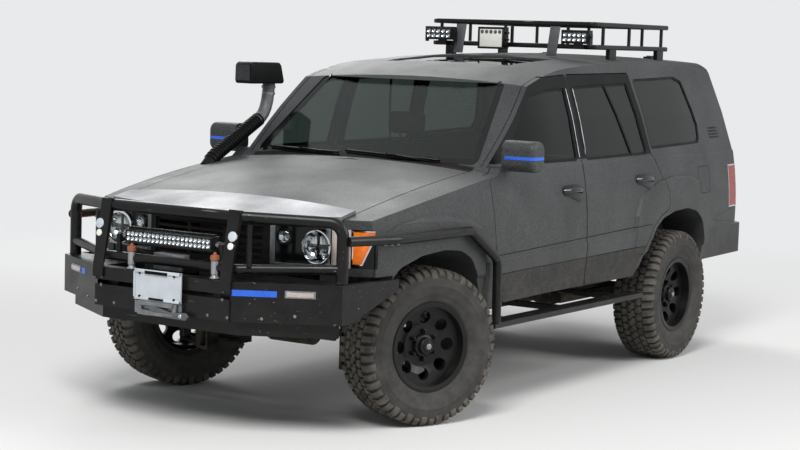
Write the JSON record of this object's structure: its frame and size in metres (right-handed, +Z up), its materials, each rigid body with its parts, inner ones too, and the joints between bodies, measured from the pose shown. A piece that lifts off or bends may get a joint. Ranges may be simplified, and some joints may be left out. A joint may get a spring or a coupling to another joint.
{
  "type": "off-road 4x4 vehicle",
  "caption": "Lifted five-door off-road wagon with bull bar, roof rack, snorkel, side steps and opening doors, hood and gates.",
  "frame": {"origin": "on the ground, below the centre of the bounding box", "axes": "+Z up, +Y towards the rear, +X to the vehicle's left"},
  "size_m": [2.22, 5.206, 2.1244],
  "materials": {
    "body_paint": "textured matt dark grey",
    "black_paint": "satin black",
    "frame_black": "matt black",
    "grey_paint": "satin mid grey",
    "cast_metal": "bare casting",
    "alloy": "dark painted alloy",
    "tyre_rubber": "matt",
    "lamp_black": "gloss black",
    "lamp_red": "gloss red lens",
    "clear_lens": "clear",
    "window_glass": "lightly tinted",
    "trim_black": "fine grained",
    "trim_tan": "fine grained",
    "seat_cloth": "woven",
    "plate_grey": "blank painted sheet",
    "steel": "plain steel",
    "wheel_tan": "smooth"
  },
  "bodies": {
    "body": {"body_side_left": "body_paint", "body_side_right": "body_paint", "roof_panel": "body_paint", "floor_and_bulkhead": "frame_black", "wings": "body_paint", "front_panel": "body_paint", "grille": "trim_black", "headlamps": "lamp_black", "headlamp_lenses": "clear_lens", "tail_lamps": "lamp_red", "fixed_glass": "window_glass", "ladder_frame": "frame_black", "powertrain": "cast_metal", "rear_axle": "cast_metal", "rear_suspension": "frame_black", "front_suspension": "frame_black", "front_differential": "cast_metal", "exhaust": "steel", "fuel_tank": "trim_black", "spare_wheel": "tyre_rubber", "bull_bar": "black_paint", "bull_bar_hoops": "black_paint", "work_lights": "black_paint", "winch": "steel", "number_plate": "plate_grey", "side_steps": "black_paint", "side_rails": "black_paint", "rear_bumper": "black_paint", "hitch": "black_paint", "roof_rack": "black_paint", "snorkel": "trim_black", "dashboard": "trim_tan", "seats": "seat_cloth"},
    "front_door_left": {"front_door_left": "body_paint", "front_door_glass_left": "window_glass"},
    "front_door_right": {"front_door_right": "body_paint", "front_door_glass_right": "window_glass"},
    "rear_door_left": {"rear_door_left": "body_paint", "rear_door_glass_left": "window_glass"},
    "rear_door_right": {"rear_door_right": "body_paint", "rear_door_glass_right": "window_glass"},
    "upper_gate": {"liftgate": "body_paint", "liftgate_glass": "window_glass"},
    "lower_gate": {"tailgate": "body_paint"},
    "hood": {"hood": "body_paint", "hood_protector": "grey_paint"},
    "steering_wheel": {"steering_wheel": "wheel_tan"},
    "knuckle_left": {"knuckle_left": "cast_metal"},
    "knuckle_right": {"knuckle_right": "cast_metal"},
    "wheel_front_left": {"tyre_front_left": "tyre_rubber", "rim_front_left": "alloy"},
    "wheel_front_right": {"tyre_front_right": "tyre_rubber", "rim_front_right": "alloy"},
    "wheel_rear_left": {"tyre_rear_left": "tyre_rubber", "rim_rear_left": "alloy"},
    "wheel_rear_right": {"tyre_rear_right": "tyre_rubber", "rim_rear_right": "alloy"}
  },
  "joints": [
    {"name": "front_door_left_hinge", "type": "hinge", "parent": "body", "child": "front_door_left", "pos_m": [0.941, -0.945, 0.9], "axis": [0, 0, -1], "range_deg": [0, 65]},
    {"name": "front_door_right_hinge", "type": "hinge", "parent": "body", "child": "front_door_right", "pos_m": [-0.941, -0.945, 0.9], "axis": [0, 0, 1], "range_deg": [0, 65]},
    {"name": "rear_door_left_hinge", "type": "hinge", "parent": "body", "child": "rear_door_left", "pos_m": [0.941, 0.131, 0.9], "axis": [0, 0, -1], "range_deg": [0, 65]},
    {"name": "rear_door_right_hinge", "type": "hinge", "parent": "body", "child": "rear_door_right", "pos_m": [-0.941, 0.131, 0.9], "axis": [0, 0, 1], "range_deg": [0, 65]},
    {"name": "hood_hinge", "type": "hinge", "parent": "body", "child": "hood", "pos_m": [0, -0.891, 1.318], "axis": [-1, 0, 0], "range_deg": [0, 50]},
    {"name": "upper_gate_hinge", "type": "hinge", "parent": "body", "child": "upper_gate", "pos_m": [0, 2.006, 1.914], "axis": [1, 0, 0], "range_deg": [0, 95]},
    {"name": "lower_gate_hinge", "type": "hinge", "parent": "body", "child": "lower_gate", "pos_m": [0, 2.468, 0.825], "axis": [-1, 0, 0], "range_deg": [0, 90]},
    {"name": "steer_left", "type": "hinge", "parent": "body", "child": "knuckle_left", "pos_m": [0.76, -1.437, 0.41], "axis": [0, 0, 1], "range_deg": [-7.5, 52.5]},
    {"name": "steer_right", "type": "hinge", "parent": "body", "child": "knuckle_right", "pos_m": [-0.76, -1.437, 0.41], "axis": [0, 0, 1], "range_deg": [-7.5, 52.5]},
    {"name": "steering_wheel_turn", "type": "hinge", "parent": "body", "child": "steering_wheel", "pos_m": [0.385, -0.427, 1.095], "axis": [0, 0.9135, 0.4067], "range_deg": [-120, 840]},
    {"name": "wheel_spin_front_left", "type": "hinge", "parent": "knuckle_left", "child": "wheel_front_left", "pos_m": [0.81543, -1.45996, 0.41], "axis": [0.9239, -0.3827, 0], "continuous": true},
    {"name": "wheel_spin_front_right", "type": "hinge", "parent": "knuckle_right", "child": "wheel_front_right", "pos_m": [-0.81543, -1.41404, 0.41], "axis": [0.9239, -0.3827, 0], "continuous": true},
    {"name": "wheel_spin_rear_left", "type": "hinge", "parent": "body", "child": "wheel_rear_left", "pos_m": [0.82, 1.413, 0.41], "axis": [1, 0, 0], "continuous": true},
    {"name": "wheel_spin_rear_right", "type": "hinge", "parent": "body", "child": "wheel_rear_right", "pos_m": [-0.82, 1.413, 0.41], "axis": [1, 0, 0], "continuous": true}
  ],
  "couplings": [
    {"joint": "steer_right", "follows": "steer_left", "ratio": 1},
    {"joint": "steering_wheel_turn", "follows": "steer_left", "ratio": 16}
  ]
}
